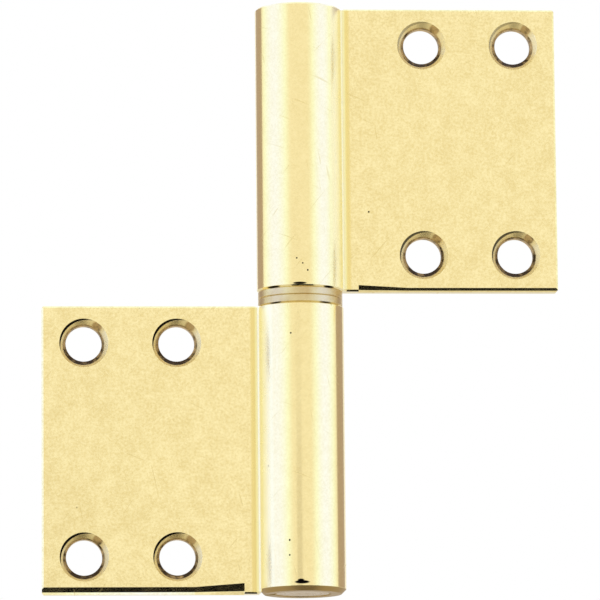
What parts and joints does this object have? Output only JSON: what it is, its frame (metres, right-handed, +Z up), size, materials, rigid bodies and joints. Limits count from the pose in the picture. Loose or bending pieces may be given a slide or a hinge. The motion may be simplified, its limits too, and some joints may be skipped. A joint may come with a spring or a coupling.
{
  "type": "flag hinge",
  "caption": "Lift-off flag hinge: rolled sheet leaves at different heights turn on a fixed pin over thrust washers, with countersunk screw holes in each leaf.",
  "frame": {"origin": "on the pin axis, halfway up the open hinge, between the washers", "axes": "+Z up along the pin, -Y towards the countersunk front, +X towards the free edge of the upper leaf"},
  "size_m": [0.0888, 0.0148, 0.1016],
  "materials": {
    "polished_brass": "polished and lacquered",
    "turned_brass": "turned",
    "washer_bronze": "satin"
  },
  "bodies": {
    "fixed_leaf": {"lower_leaf": "polished_brass", "hinge_pin": "turned_brass", "lower_washer": "washer_bronze"},
    "turning_washer": {"upper_washer": "washer_bronze"},
    "door_leaf": {"upper_leaf": "polished_brass", "top_plug": "turned_brass"}
  },
  "joints": [
    {"name": "leaf_swing", "type": "hinge", "parent": "fixed_leaf", "child": "turning_washer", "pos_m": [0, 0, 0], "axis": [0, 0, 1], "continuous": true},
    {"name": "lift_off", "type": "slide", "parent": "turning_washer", "child": "door_leaf", "axis": [0, 0, 1], "range_m": [0, 0.045]}
  ]
}
